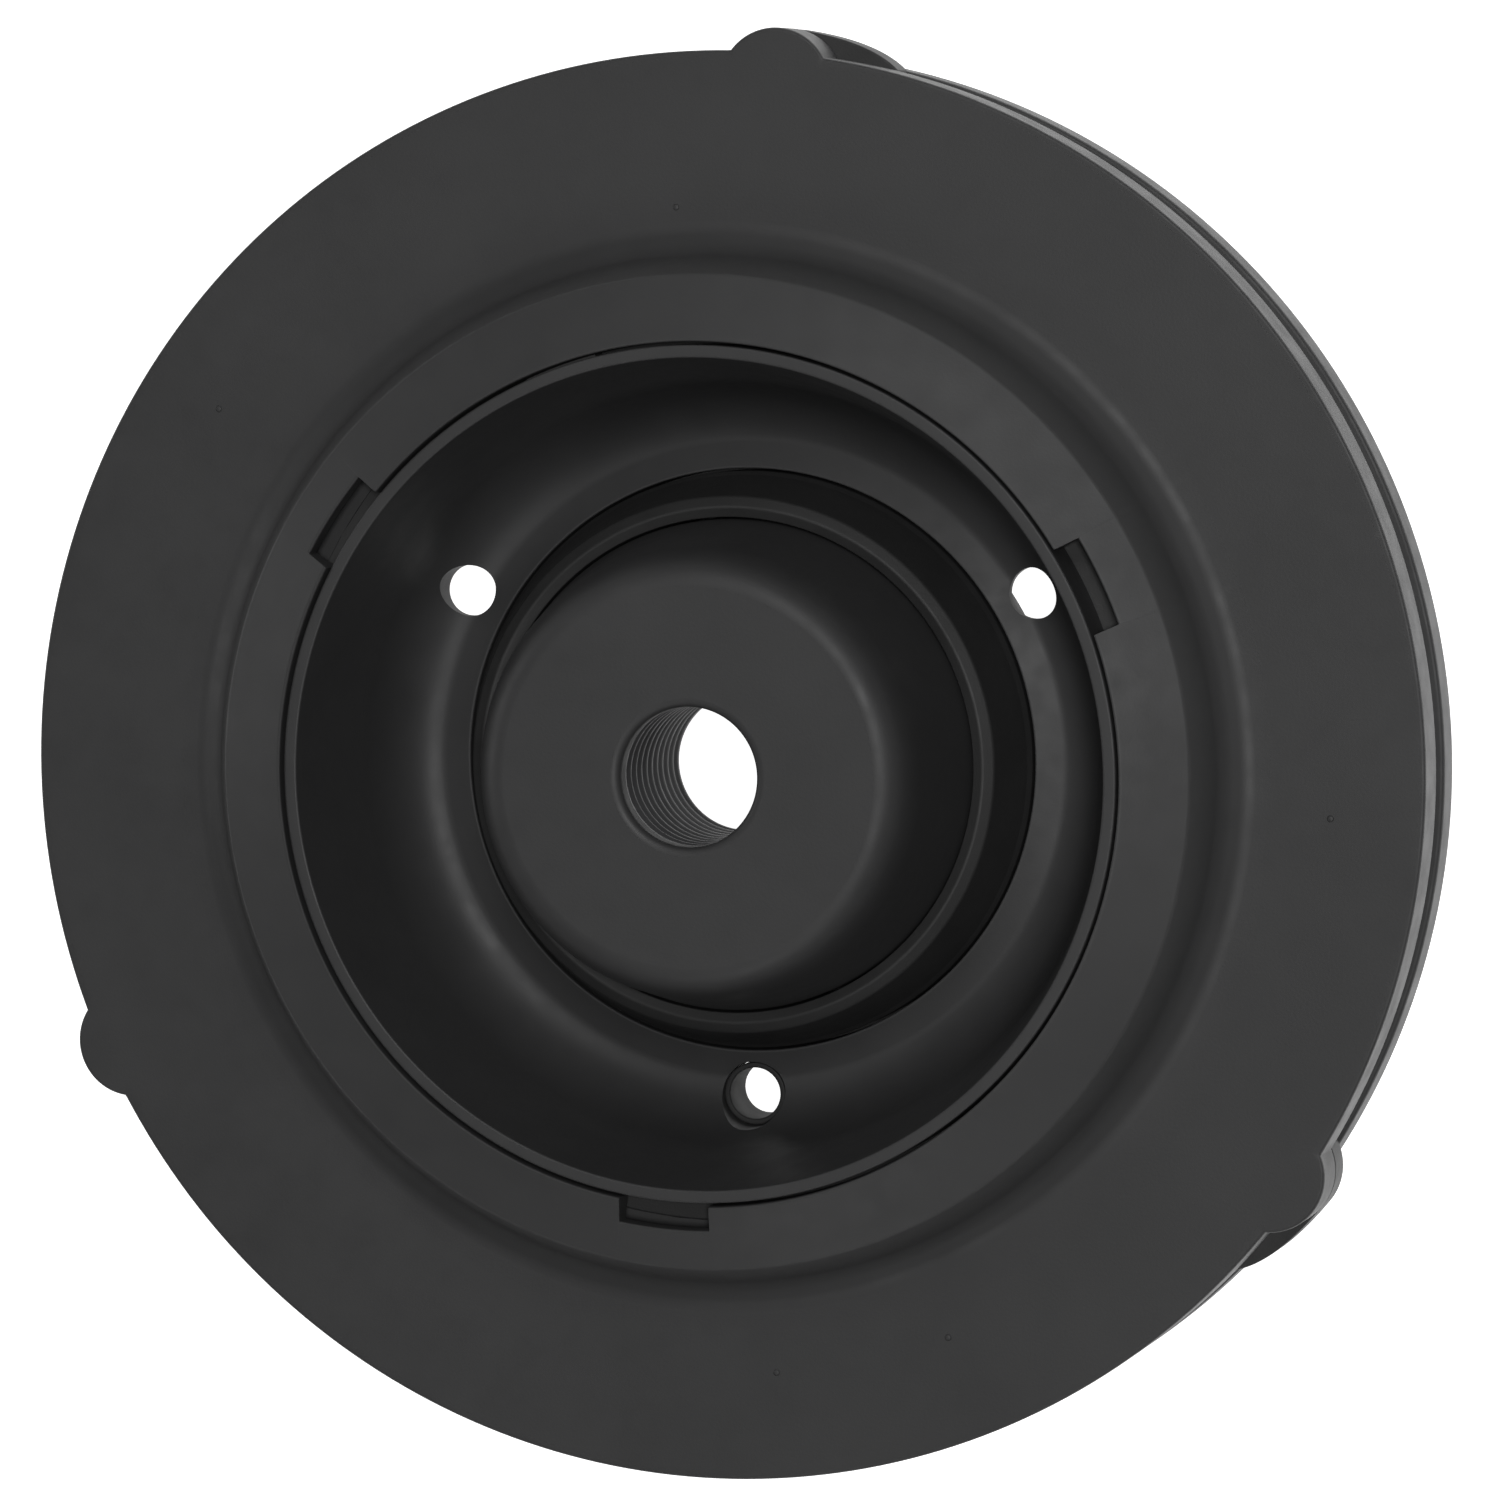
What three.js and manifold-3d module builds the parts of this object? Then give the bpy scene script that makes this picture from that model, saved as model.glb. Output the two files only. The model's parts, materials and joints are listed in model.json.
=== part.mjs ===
// A swivelling toilet flange with its bayonet closing cup in place.
//
// Millimetres, +Z up. The origin is on the pipe's axis at the mouth of the pipe socket.
// Every height inside a piece is counted from the flange ring's flat outer face, and the
// whole assembly is lifted by FACE_Z at the end. Angles are in degrees, seen from above.
//
// Three bodies turn on the one axis: the hub, which takes the soil pipe; the flange ring,
// two plates screwed together round the hub's flange, with a gasket between their rims; and
// the closing cup, whose three lugs go in through the collar's notches and turn under its
// roof.
import * as THREE from "three";
import { mergeVertices } from "three/addons/utils/BufferGeometryUtils.js";
import Module from "manifold-3d";

const wasm = await Module();
wasm.setup();

// Shared
const FACE_Z = 50; // the ring's outer face above the socket's mouth
const GAP = 0.3; // between pieces that touch
const PAST = 1; // how far a cutter runs past the face it cuts
const THIRDS = [0, 120, 240];
const FINE = 64; // segments round a large piece
const MEDIUM = 40; // segments round the boss, the washers and the clip
const SMALL = 12; // segments round a screw

// Flange ring: two plates with a groove between their rims
const RING_ANGLE = 25.9; // the first notch
const RIM_R = 90;
const FRONT_T = 7.8;
const GROOVE_T = 5.9;
const REAR_T = 6.2;
const FLOOR_H = -(FRONT_T + GROOVE_T + REAR_T); // underside of the ring
const REAR_TOP_H = FLOOR_H + REAR_T;
const RING_HOLE_R = 60;
const EAR_R = 7.2;
const EAR_CENTRE_R = 86;
const EAR_OFFSET = 59.2; // from a notch to the next ear
const TAB_R = 6.8; // the gasket's tab behind an ear
const TAB_TURN = 4; // where the tab's round turns into its flank
const TAB_PULL = 9.5; // how far the flank keeps straight on before it bends to the rim
const TAB_REACH = 9; // from the middle of an ear to where the flank meets the rim
const TAB_LOW_H = -10.8;

// Collar on the front plate
const SLOPE_FOOT_R = 71;
const SLOPE_R = 64.5; // where the foot's curve turns into the straight slope
const SLOPE_H = 2.2;
const COLLAR_EDGE_R = 62.2;
const COLLAR_EDGE_H = 8.5;
const COLLAR_BORE_R = 53.9;
const COLLAR_TOP_H = 11.8;
const COLLAR_ROOF_H = 7.6; // underside of the roof that holds the lugs
const COLLAR_CAVITY_R = 59.9;
const NOTCH_R = 57;
const NOTCH_WIDTH = 12.2;
const STOP_R = 55.2;
const STOP_WIDTH = 2.5;

// Rib, gasket and screws between the plates
const RIB_INNER_R = 77;
const RIB_OUTER_R = 84;
const GASKET_R = 89;
const WASHER_ROOM_H = [-15, -6]; // the space for the hub's flange and its washers
const SCREW_COUNT = 6;
const SCREW_CENTRE_R = 80.5;
const RING_SCREW = { headR: 3, shankR: 1.8, low: FLOOR_H + 0.2, seat: -17.4, tip: -2.6 };

// Hub
const SOCKET_R = 59.3;
const PIPE_R = 55.3; // takes a 110 mm soil pipe
const PIPE_STOP_H = -21;
const SEAL_SEAT_R = 57.6;
const SEAL_TOP_H = -39;
const SEAL_BASE_H = -45;
const SEAL_LIP_R = 54.4; // presses on the pipe
const NECK_R = 57;
const NECK_BORE_R = 52.2;
const NECK_TOP_H = 0.7;
const SLIDE_RING_TOP_H = -1.2;
const HUB_FLANGE_R = 75.5;
const HUB_FLANGE_H = [-12.4, -8.6];
const WASHER_R = [61, 75];

// Closing cup
const CUP_ANGLE = 30.5; // the first drive hole
const CUP_TRAVEL = 36; // from locked to in line with the notches
const LIP_H = 11.2;
const LIP_R = 53.5;
const LIP_BORE_R = 51.9;
const CUP_WALL_R = 48.7; // inside the cup, where the wall turns into the bend
const CUP_WALL_H = -5.5;
const CUP_SKIRT_R = 51.6;
const SHOULDER_H = 3.1;
const CUP_FLOOR_H = -16.3; // at the hole for the boss
const CUP_FLOOR_R = 40.5; // where the floor turns into the bend
const CUP_DISH_H = -17.4; // the floor's lowest level, there
const CUP_BASE_H = -22.4;
const CUP_BASE_R = 45;
const CUP_HOLE_R = 37.2;
const DRIVE_HOLE_R = 3.3;
const DRIVE_CENTRE_R = 42.9;
const DRIVE_RELIEF_R = 4.9; // the hollow behind each open drive hole
const DRIVE_RELIEF_H = -18.7;
const LUG_R = 56.6;
const LUG_WIDTH = 10;
const LUG_H = [3.8, 7.1];
const LUG_ANGLE = RING_ANGLE - CUP_TRAVEL - CUP_ANGLE;
const CUP_SEAL_R = 56.4;
const SLEEVE_R = 4; // a sleeve that lines one of the drive holes
const SLEEVE_END_H = -25.4;

// Centre boss and its boot
const BOSS_TOP_H = 14.5;
const BOSS_FLAT_R = 23.7;
const BOSS_EDGE_R = 28.5;
const BOSS_EDGE_H = 7.5;
const BOSS_R = 31.1; // at its foot
const BOSS_FOOT_H = -6.9;
const BOSS_FLANGE_R = 38; // wider than the cup's hole, so that it can't be pulled through
const BOOT_FOOT_R = 36.9;
const BOOT_TOP_R = 33.9;
const BOOT_TOP_H = -6.8;
const BOOT_BEAD_R = 32.7;
const BOOT_BEAD_H = -6.3;
const BOOT_FLANGE_H = [-24.7, CUP_BASE_H - GAP];
const BOSS_FLANGE_H = [-28.5, BOOT_FLANGE_H[0] - GAP];
const CORE_R = [17.5, 25, 27.9]; // the hollow round the bush: tube, then top and mouth of the wall
const CORE_TOP_H = 9.5;
const TUBE_END_H = -17;
const RIB_WIDTH = 5;
const RIB_END_H = -20;
const FOOT_ANGLE = 60; // from a drive hole to the next screwed foot
const FOOT_CENTRE_R = 40.8;
const FOOT_R = 3.9;
const FOOT_HOLE_R = 1.9;
const BOSS_SCREW = { headR: 2.9, shankR: 1.5, low: -30.6, seat: BOSS_FLANGE_H[0] - GAP, tip: -20 };

// Threaded bush in the boss
const BORE_R = 8.75;
const BUSH_R = 13.2;
const BUSH_H = [-14, 11.5];
const MOUTH_R = BORE_R + 0.1;
const POCKET_R = BUSH_R + GAP;
const CLIP_H = [-15.4, -14.6];
const CLIP_R = [11.9, 14.6];
const CLIP_GAP_WIDTH = 24;

const PLASTIC = { color: "#393939", roughness: 0.55, metalness: 0 };
const RUBBER = { color: "#1c1c1c", roughness: 0.8, metalness: 0 };
const BLACK_STEEL = { color: "#343436", roughness: 0.45, metalness: 0.6 };
const ZINC = { color: "#8a8c8e", roughness: 0.4, metalness: 0.9 };
const ACETAL = { color: "#d8d6cf", roughness: 0.5, metalness: 0 };

const UP = new THREE.Vector3(0, 0, 1);
const radians = THREE.MathUtils.degToRad;
const thirdsFrom = (angle) => THIRDS.map((third) => third + angle);
const EAR_ANGLES = thirdsFrom(EAR_OFFSET);
const SCREW_ANGLES = Array.from({ length: SCREW_COUNT }, (_, i) => 30 + (i * 360) / SCREW_COUNT);
const FOOT_ANGLES = thirdsFrom(FOOT_ANGLE);

// --- Shapes -------------------------------------------------------------------------

// A solid of revolution. A ring's outline closes on itself; a screw's ends on the axis.
function turned(outline, segments = FINE) {
  const points = outline.map(([r, h]) => new THREE.Vector2(r, h));
  if (THREE.ShapeUtils.area(points) < 0) points.reverse();
  if (points[0].x > 0) points.push(points[0].clone());
  return new THREE.LatheGeometry(points, segments).rotateX(Math.PI / 2);
}

// The points of a smooth bend between two outline points, pulled towards a corner.
function bend(from, corner, to, steps) {
  const [a, b, c] = [from, corner, to].map(([r, h]) => new THREE.Vector2(r, h));
  return new THREE.QuadraticBezierCurve(a, b, c).getPoints(steps).map(({ x, y }) => [x, y]);
}

function hoop(innerR, outerR, low, high, segments = FINE) {
  return turned([[innerR, low], [outerR, low], [outerR, high], [innerR, high]], segments);
}

function extruded(shape, low, high, curveSegments) {
  const options = { depth: high - low, bevelEnabled: false, curveSegments };
  return new THREE.ExtrudeGeometry(shape, options).translate(0, 0, low);
}

// An upright round bar that stands the given distance from the common axis.
function bar(radius, centreR, low, high, segments = SMALL) {
  const geometry = new THREE.CylinderGeometry(radius, radius, high - low, segments);
  return geometry.rotateX(Math.PI / 2).translate(centreR, 0, (low + high) / 2);
}

// A block between two radii, as wide as the angle says.
function sector(innerR, outerR, width, low, high) {
  const half = radians(width / 2);
  const shape = new THREE.Shape();
  shape.absarc(0, 0, outerR, -half, half, false);
  shape.absarc(0, 0, innerR, half, -half, true);
  return extruded(shape, low, high, 3);
}

// A screw on its own axis, head down, with a pointed tip.
function screw({ headR, shankR, low, seat, tip }) {
  const outline = [
    [0, low],
    [headR, low],
    [headR, seat],
    [shankR, seat],
    [shankR, tip - shankR],
    [0, tip],
  ];
  return turned(outline, SMALL);
}

// --- Joining and cutting ------------------------------------------------------------

function solid(geometry) {
  const bare = geometry.clone();
  bare.deleteAttribute("normal");
  bare.deleteAttribute("uv");
  const merged = mergeVertices(bare);
  const corners = merged.index.array;
  const triangles = [];
  for (let i = 0; i < corners.length; i += 3) {
    const [a, b, c] = [corners[i], corners[i + 1], corners[i + 2]];
    if (a !== b && b !== c && c !== a) triangles.push(a, b, c);
  }
  return new wasm.Manifold(new wasm.Mesh({
    numProp: 3,
    vertProperties: Float32Array.from(merged.attributes.position.array),
    triVerts: Uint32Array.from(triangles),
  }));
}

function geometryOf(body) {
  const { vertProperties, triVerts } = body.getMesh();
  const geometry = new THREE.BufferGeometry();
  geometry.setAttribute("position", new THREE.BufferAttribute(vertProperties, 3));
  geometry.setIndex(new THREE.BufferAttribute(triVerts, 1));
  geometry.computeVertexNormals();
  return geometry;
}

const turnedCopy = (geometry, angle) => solid(geometry.clone().rotateZ(radians(angle)));

function join(body, geometry, angles) {
  return angles.reduce((whole, angle) => whole.add(turnedCopy(geometry, angle)), body);
}

function cut(body, geometry, angles) {
  return angles.reduce((whole, angle) => whole.subtract(turnedCopy(geometry, angle)), body);
}

function piece(name, geometry, finish) {
  const mesh = new THREE.Mesh(geometry, new THREE.MeshStandardMaterial(finish));
  mesh.name = name;
  return mesh;
}

function screws(name, size, centreR, angles) {
  return angles.map((angle, i) => {
    const mesh = piece(`${name}_${i + 1}`, screw(size), ZINC);
    mesh.position.set(centreR, 0, 0).applyAxisAngle(UP, radians(angle));
    return mesh;
  });
}

// --- Flange ring --------------------------------------------------------------------

function frontRing() {
  const plate = turned([
    [RIM_R, -FRONT_T],
    [RIM_R, 0],
    ...bend([SLOPE_FOOT_R, 0], [SLOPE_R + 1, 0], [SLOPE_R, SLOPE_H], 4),
    [COLLAR_EDGE_R, COLLAR_EDGE_H],
    [COLLAR_BORE_R, COLLAR_TOP_H],
    [COLLAR_BORE_R, COLLAR_ROOF_H],
    [COLLAR_CAVITY_R, COLLAR_ROOF_H],
    [COLLAR_CAVITY_R, WASHER_ROOM_H[1]],
    [RIB_INNER_R, WASHER_ROOM_H[1]],
    [RIB_INNER_R, -FRONT_T],
  ]);
  const ear = bar(EAR_R, EAR_CENTRE_R, -FRONT_T, 0, 2 * SMALL);
  const stop = sector(STOP_R, COLLAR_CAVITY_R + PAST, STOP_WIDTH, LUG_H[0], COLLAR_ROOF_H + PAST);
  const stopAngle = -CUP_TRAVEL - LUG_WIDTH / 2 - STOP_WIDTH;
  const notch = sector(STOP_R - 4, NOTCH_R, NOTCH_WIDTH, COLLAR_ROOF_H - PAST, COLLAR_TOP_H + PAST);
  const screwHole = bar(RING_SCREW.shankR + GAP, SCREW_CENTRE_R, -FRONT_T - PAST, RING_SCREW.tip + GAP);
  let body = join(solid(plate), ear, EAR_ANGLES);
  body = join(body, stop, thirdsFrom(stopAngle));
  body = cut(body, notch, THIRDS);
  return geometryOf(cut(body, screwHole, SCREW_ANGLES));
}

function rearRing() {
  const plate = turned([
    [RING_HOLE_R, FLOOR_H],
    [RIM_R, FLOOR_H],
    [RIM_R, REAR_TOP_H],
    [RIB_OUTER_R, REAR_TOP_H],
    [RIB_OUTER_R, -FRONT_T - GAP],
    [RIB_INNER_R, -FRONT_T - GAP],
    [RIB_INNER_R, WASHER_ROOM_H[0]],
    [RING_HOLE_R, WASHER_ROOM_H[0]],
  ]);
  const screwHole = bar(RING_SCREW.shankR + GAP, SCREW_CENTRE_R, FLOOR_H - PAST, -FRONT_T);
  const screwSink = bar(RING_SCREW.headR + GAP, SCREW_CENTRE_R, FLOOR_H - PAST, RING_SCREW.seat + GAP);
  return geometryOf(cut(cut(solid(plate), screwHole, SCREW_ANGLES), screwSink, SCREW_ANGLES));
}

// A gasket tab in plan: a round, then a bowed flank down to the rim.
function tabShape() {
  const turn = radians(TAB_TURN);
  const reach = radians(TAB_REACH);
  const [startX, startY] = [EAR_CENTRE_R + TAB_R * Math.cos(turn), -TAB_R * Math.sin(turn)];
  const [pullX, pullY] = [startX - TAB_PULL * Math.sin(turn), startY - TAB_PULL * Math.cos(turn)];
  const shape = new THREE.Shape();
  shape.absarc(EAR_CENTRE_R, 0, TAB_R, Math.PI / 2, -turn, true);
  shape.quadraticCurveTo(pullX, pullY, RIM_R * Math.cos(reach), -RIM_R * Math.sin(reach));
  shape.lineTo(SCREW_CENTRE_R, 0);
  return shape;
}

// A rubber ring in the groove. Its three tabs lie flat behind the ears.
function rimGasket() {
  const ring = hoop(RIB_OUTER_R + GAP, GASKET_R, REAR_TOP_H + GAP, -FRONT_T - GAP);
  const tab = extruded(tabShape(), TAB_LOW_H, -FRONT_T - GAP, 10);
  const ribRoom = hoop(RIB_INNER_R, RIB_OUTER_R + GAP, FLOOR_H - PAST, 0);
  const whole = join(solid(ring), tab, EAR_ANGLES);
  return geometryOf(cut(whole, ribRoom, [0]));
}

function flangeRing() {
  const group = new THREE.Group();
  group.rotation.z = radians(RING_ANGLE);
  group.add(piece("front_ring", frontRing(), PLASTIC));
  group.add(piece("rear_ring", rearRing(), PLASTIC));
  group.add(piece("rim_gasket", rimGasket(), RUBBER));
  group.add(...screws("ring_screw", RING_SCREW, SCREW_CENTRE_R, SCREW_ANGLES));
  return group;
}

// --- Hub ----------------------------------------------------------------------------

function hubSocket() {
  return turned([
    [SEAL_SEAT_R, -FACE_Z],
    [SOCKET_R, -FACE_Z],
    [SOCKET_R, HUB_FLANGE_H[0]],
    [HUB_FLANGE_R, HUB_FLANGE_H[0]],
    [HUB_FLANGE_R, HUB_FLANGE_H[1]],
    [NECK_R, HUB_FLANGE_H[1]],
    [NECK_R, NECK_TOP_H],
    [NECK_BORE_R, NECK_TOP_H],
    [NECK_BORE_R, PIPE_STOP_H],
    [PIPE_R, PIPE_STOP_H],
    [PIPE_R, SEAL_TOP_H],
    [SEAL_SEAT_R, SEAL_TOP_H],
  ]);
}

// The lip is near the top, so that a pipe pushed in from below bends it inwards.
function pipeSeal() {
  const seat = SEAL_SEAT_R - GAP;
  const top = SEAL_TOP_H - GAP;
  return turned([
    [seat, SEAL_BASE_H],
    [seat, top],
    [PIPE_R, top],
    [SEAL_LIP_R, top - 1],
    [SEAL_LIP_R, top - 2],
    [PIPE_R + GAP, top - 3],
    [PIPE_R + GAP, SEAL_BASE_H],
  ]);
}

function hub() {
  const retainer = hoop(PIPE_R + GAP, SEAL_SEAT_R - GAP, GAP - FACE_Z, SEAL_BASE_H - GAP, MEDIUM);
  const slideRing = hoop(NECK_R + GAP, COLLAR_CAVITY_R - GAP, HUB_FLANGE_H[1] + GAP, SLIDE_RING_TOP_H);
  const upper = hoop(...WASHER_R, HUB_FLANGE_H[1] + GAP, WASHER_ROOM_H[1] - GAP, MEDIUM);
  const lower = hoop(...WASHER_R, WASHER_ROOM_H[0] + GAP, HUB_FLANGE_H[0] - GAP, MEDIUM);
  const group = new THREE.Group();
  group.add(piece("hub_socket", hubSocket(), PLASTIC));
  group.add(piece("pipe_seal", pipeSeal(), RUBBER));
  group.add(piece("seal_retainer", retainer, ACETAL));
  group.add(piece("slide_ring", slideRing, ACETAL));
  group.add(piece("upper_thrust_washer", upper, ACETAL));
  group.add(piece("lower_thrust_washer", lower, ACETAL));
  return group;
}

// --- Closing cup --------------------------------------------------------------------

function closingCup() {
  const dish = turned([
    [LIP_R, LIP_H],
    [LIP_BORE_R, LIP_H],
    ...bend([CUP_WALL_R, CUP_WALL_H], [CUP_WALL_R - 1.6, CUP_DISH_H], [CUP_FLOOR_R, CUP_DISH_H], 4),
    [CUP_HOLE_R, CUP_FLOOR_H],
    [CUP_HOLE_R, CUP_BASE_H],
    ...bend([CUP_BASE_R, CUP_BASE_H], [CUP_SKIRT_R, CUP_BASE_H], [CUP_SKIRT_R, CUP_BASE_H + 10], 3),
    [CUP_SKIRT_R, SHOULDER_H],
    [LIP_R, SHOULDER_H],
  ]);
  const lug = sector(LIP_BORE_R, LUG_R, LUG_WIDTH, LUG_H[0], LUG_H[1]);
  const driveHole = bar(DRIVE_HOLE_R, DRIVE_CENTRE_R, CUP_BASE_H - PAST, CUP_WALL_H, 2 * SMALL);
  const relief = bar(DRIVE_RELIEF_R, DRIVE_CENTRE_R, CUP_BASE_H - PAST, DRIVE_RELIEF_H, 2 * SMALL);
  const sleeveHole = bar(SLEEVE_R + GAP, DRIVE_CENTRE_R, CUP_BASE_H - PAST, CUP_WALL_H, 2 * SMALL);
  const footHole = bar(BOSS_SCREW.shankR + GAP, FOOT_CENTRE_R, CUP_BASE_H - PAST, BOSS_SCREW.tip + GAP);
  let body = join(solid(dish), lug, thirdsFrom(LUG_ANGLE));
  body = cut(body, driveHole, THIRDS.slice(0, 2));
  body = cut(body, relief, THIRDS.slice(0, 2));
  body = cut(body, sleeveHole, THIRDS.slice(2));
  return geometryOf(cut(body, footHole, FOOT_ANGLES));
}

// Three feet with screw holes, on the rim of a round flange.
function addFeet(body, [low, high]) {
  const web = sector(BOSS_FLANGE_R - 2, FOOT_CENTRE_R, 2 * FOOT_R, low, high);
  const whole = join(join(body, web, FOOT_ANGLES), bar(FOOT_R, FOOT_CENTRE_R, low, high), FOOT_ANGLES);
  return cut(whole, bar(FOOT_HOLE_R, FOOT_CENTRE_R, low - PAST, high + PAST), FOOT_ANGLES);
}

function bossBoot() {
  const innerR = BOSS_R + GAP;
  const cuff = turned([
    [innerR, BOOT_FLANGE_H[0]],
    [BOSS_FLANGE_R, BOOT_FLANGE_H[0]],
    [BOSS_FLANGE_R, BOOT_FLANGE_H[1]],
    [BOOT_FOOT_R, BOOT_FLANGE_H[1]],
    [BOOT_FOOT_R, CUP_FLOOR_H],
    [BOOT_TOP_R, BOOT_TOP_H],
    [BOOT_BEAD_R, BOOT_BEAD_H],
    [innerR, BOOT_TOP_H],
  ], MEDIUM);
  return geometryOf(addFeet(solid(cuff), BOOT_FLANGE_H));
}

function centreBoss() {
  const [tubeR, coreTopR, coreMouthR] = CORE_R;
  const grooveR = CLIP_R[1] + GAP;
  const [clipLow, clipHigh] = [CLIP_H[0] - GAP, CLIP_H[1] + GAP];
  const pocketTop = BUSH_H[1] + GAP;
  const shell = turned([
    [MOUTH_R, BOSS_TOP_H],
    ...bend([BOSS_FLAT_R, BOSS_TOP_H], [BOSS_EDGE_R - 1, BOSS_TOP_H], [BOSS_EDGE_R, BOSS_EDGE_H], 4),
    [BOSS_R, BOSS_FOOT_H],
    [BOSS_R, BOSS_FLANGE_H[1]],
    [BOSS_FLANGE_R, BOSS_FLANGE_H[1]],
    [BOSS_FLANGE_R, BOSS_FLANGE_H[0]],
    [coreMouthR, BOSS_FLANGE_H[0]],
    [coreTopR, CORE_TOP_H],
    [tubeR, CORE_TOP_H],
    [tubeR, TUBE_END_H],
    [POCKET_R, TUBE_END_H],
    [POCKET_R, clipLow],
    [grooveR, clipLow],
    [grooveR, clipHigh],
    [POCKET_R, clipHigh],
    [POCKET_R, pocketTop],
    [MOUTH_R, pocketTop],
  ], MEDIUM);
  const rib = sector(tubeR - 1, coreTopR + 1, RIB_WIDTH, RIB_END_H, CORE_TOP_H + PAST);
  const ribbed = join(solid(shell), rib, [...THIRDS, ...thirdsFrom(60)]);
  return geometryOf(addFeet(ribbed, BOSS_FLANGE_H));
}

function bushClip() {
  const [low, high] = CLIP_H;
  const clip = hoop(...CLIP_R, low, high, MEDIUM);
  const opening = sector(CLIP_R[0] - PAST, CLIP_R[1] + PAST, CLIP_GAP_WIDTH, low - PAST, high + PAST);
  return geometryOf(cut(solid(clip), opening, [90]));
}

function cup() {
  const seal = hoop(CUP_SKIRT_R + GAP, CUP_SEAL_R, NECK_TOP_H + GAP, SHOULDER_H - GAP);
  const bush = hoop(BORE_R, BUSH_R, ...BUSH_H, MEDIUM);
  const sleeve = hoop(DRIVE_HOLE_R, SLEEVE_R, SLEEVE_END_H, CUP_DISH_H, 2 * SMALL);
  sleeve.translate(DRIVE_CENTRE_R, 0, 0).rotateZ(radians(THIRDS[2]));
  const group = new THREE.Group();
  group.rotation.z = radians(CUP_ANGLE);
  group.add(piece("closing_cup", closingCup(), PLASTIC));
  group.add(piece("cup_seal", seal, RUBBER));
  group.add(piece("index_sleeve", sleeve, BLACK_STEEL));
  group.add(piece("boss_boot", bossBoot(), RUBBER));
  group.add(piece("centre_boss", centreBoss(), PLASTIC));
  group.add(piece("port_bush", bush, BLACK_STEEL));
  group.add(piece("bush_clip", bushClip(), BLACK_STEEL));
  group.add(...screws("boss_screw", BOSS_SCREW, FOOT_CENTRE_R, FOOT_ANGLES));
  return group;
}

const flange = new THREE.Group();
flange.position.z = FACE_Z;
flange.add(hub());
flange.add(flangeRing());
flange.add(cup());

export default flange;
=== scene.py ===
"""The looks of the swivelling toilet flange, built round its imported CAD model.

Lengths in the outlines are millimetres. An outline is a closed list of corners (radius, height, fillet)
round the pipe's axis, and its heights are counted from the flange ring's flat outer face.
"""

import json
import math

import bmesh
import bpy
import numpy as np
from mathutils import Matrix, Vector

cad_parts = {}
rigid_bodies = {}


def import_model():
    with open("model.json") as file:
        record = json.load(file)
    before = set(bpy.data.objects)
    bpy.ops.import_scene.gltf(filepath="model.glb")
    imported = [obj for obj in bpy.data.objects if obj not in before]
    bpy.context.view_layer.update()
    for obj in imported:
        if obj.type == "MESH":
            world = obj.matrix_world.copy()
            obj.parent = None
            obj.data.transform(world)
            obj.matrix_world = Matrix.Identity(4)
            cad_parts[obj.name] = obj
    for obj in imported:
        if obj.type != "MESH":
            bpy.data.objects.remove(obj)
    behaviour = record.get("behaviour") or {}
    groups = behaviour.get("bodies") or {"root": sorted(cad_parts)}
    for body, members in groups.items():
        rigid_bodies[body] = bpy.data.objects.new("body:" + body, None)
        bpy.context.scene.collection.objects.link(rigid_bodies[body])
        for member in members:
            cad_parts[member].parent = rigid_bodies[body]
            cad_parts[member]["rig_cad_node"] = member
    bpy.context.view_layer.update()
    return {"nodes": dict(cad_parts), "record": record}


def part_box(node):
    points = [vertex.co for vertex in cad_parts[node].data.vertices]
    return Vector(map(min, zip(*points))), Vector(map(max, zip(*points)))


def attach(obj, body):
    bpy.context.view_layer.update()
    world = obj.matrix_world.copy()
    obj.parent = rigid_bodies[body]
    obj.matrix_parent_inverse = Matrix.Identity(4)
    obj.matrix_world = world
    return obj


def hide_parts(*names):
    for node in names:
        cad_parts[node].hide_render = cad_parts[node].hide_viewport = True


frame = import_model()

MM = 0.001
FILLET_STEPS = 5
CURVE_STEPS = 12
CREASE = math.radians(28)  # a bend sharper than this is a hard edge
THIRDS = (0, 120, 240)
FULL_TURN = 360

# Angles in degrees, seen from above
RING_ANGLE = 25.9
EAR_ANGLES = [RING_ANGLE + 59.2 + third for third in THIRDS]
NOTCH_ANGLES = [RING_ANGLE + third for third in THIRDS]
RING_SCREW_ANGLES = [RING_ANGLE + 30 + 60 * i for i in range(6)]
CUP_ANGLE = 30.5
CUP_TRAVEL = 36
DRIVE_ANGLES = [CUP_ANGLE + third for third in THIRDS]
FOOT_ANGLES = [CUP_ANGLE + 60 + third for third in THIRDS]
LUG_ANGLES = [RING_ANGLE - CUP_TRAVEL + third for third in THIRDS]
STOP_ANGLES = [RING_ANGLE - CUP_TRAVEL - 7.5 + third for third in THIRDS]
CORE_RIB_ANGLES = [CUP_ANGLE + 60 * i for i in range(6)]
GASKET_GAP_ANGLE = 11.6

# Flange ring
GAP = 0.3  # between pieces that touch
FRONT_T = 7.8
FACE_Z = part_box("front_ring")[0].z / MM + FRONT_T  # the ring's outer face, above the socket's mouth
FLOOR_H = -19.9
REAR_TOP_H = -13.7
RIM_R = 90
RIB_R = (77, 84)  # the rear plate's rib, which the front plate stands on
RING_HOLE_R = 60
WASHER_ROOM_H = (-15, -6)  # the space for the hub's flange and its washers
EAR_R = 7.1
EAR_CENTRE_R = 86
TAB_R = 7.05
TAB_TURN = 4
TAB_PULL = 9.5
TAB_REACH = 8.8
GASKET_R = 88.9
COLLAR_BORE_R = 53.9
COLLAR_EDGE = (62.2, 8.5)
COLLAR_TOP_H = 11.8
COLLAR_ROOF_H = 7.6
CAVITY_R = 59.9
STOP_R = 58.25
NOTCH_R = 57
NOTCH_WIDTH = 12
STOP_WIDTH = 2.5
SCREW_CENTRE_R = 80.5
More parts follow.
